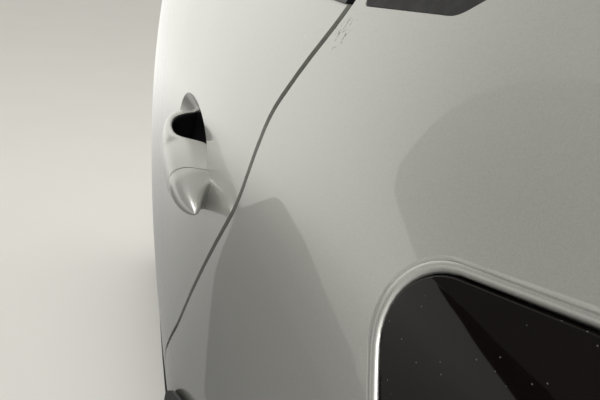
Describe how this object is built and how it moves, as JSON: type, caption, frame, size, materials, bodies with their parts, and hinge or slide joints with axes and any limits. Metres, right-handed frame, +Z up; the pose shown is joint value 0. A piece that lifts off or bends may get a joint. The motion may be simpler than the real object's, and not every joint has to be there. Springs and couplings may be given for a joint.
{
  "type": "rear body side section with door, compact crossover",
  "caption": "Left rear side section of a compact crossover: pillar, sill, roof rail and quarter panel with tail lamp, and a hinged rear door with pull handle.",
  "frame": {"origin": "middle of the sill's flat inner face, where the section is held", "axes": "+X to the rear of the car, +Y inboard and square to the sill face, +Z up"},
  "size_m": [1.495, 0.4824, 1.286],
  "materials": {
    "body_paint": "silver metallic with clear coat",
    "inner_paint": "thin silver base coat without much clear",
    "cladding": "grained black",
    "gloss_black": "polished black",
    "rubber": "soft black seal",
    "dark_glass": "tinted safety glass",
    "lamp_lens": "smoked clear-coated lens",
    "lamp_housing": "black moulding",
    "lamp_reflector": "dark red reflector",
    "steel": "zinc-plated steel",
    "interior_trim": "grained charcoal",
    "liner": "coarse black liner"
  },
  "bodies": {
    "body_side": {"quarter_panel": "body_paint", "quarter_inner": "inner_paint", "roof_rail": "body_paint", "centre_pillar": "inner_paint", "sill": "inner_paint", "sill_cladding": "cladding", "arch_cladding": "cladding", "wheelhouse": "liner", "quarter_glass": "dark_glass", "quarter_glass_seal": "rubber", "tail_lamp_lens": "lamp_lens", "tail_lamp_housing": "lamp_housing", "tail_lamp_reflector": "lamp_reflector", "opening_seal": "rubber", "striker": "steel", "hinge_lower_pillar": "steel", "hinge_upper_pillar": "steel"},
    "door": {"door_frame": "inner_paint", "door_skin": "body_paint", "door_latch": "steel", "door_glass": "dark_glass", "belt_moulding": "gloss_black", "door_seal": "rubber", "door_trim": "interior_trim", "door_armrest": "interior_trim", "handle_cap": "body_paint", "handle_strap": "body_paint", "hinge_lower_door": "steel", "hinge_upper_door": "steel"}
  },
  "joints": [
    {"name": "door_hinge", "type": "hinge", "parent": "body_side", "child": "door", "pos_m": [-0.192, -0.15233, 0.375], "axis": [0, 0, -1], "range_deg": [0, 68]}
  ]
}
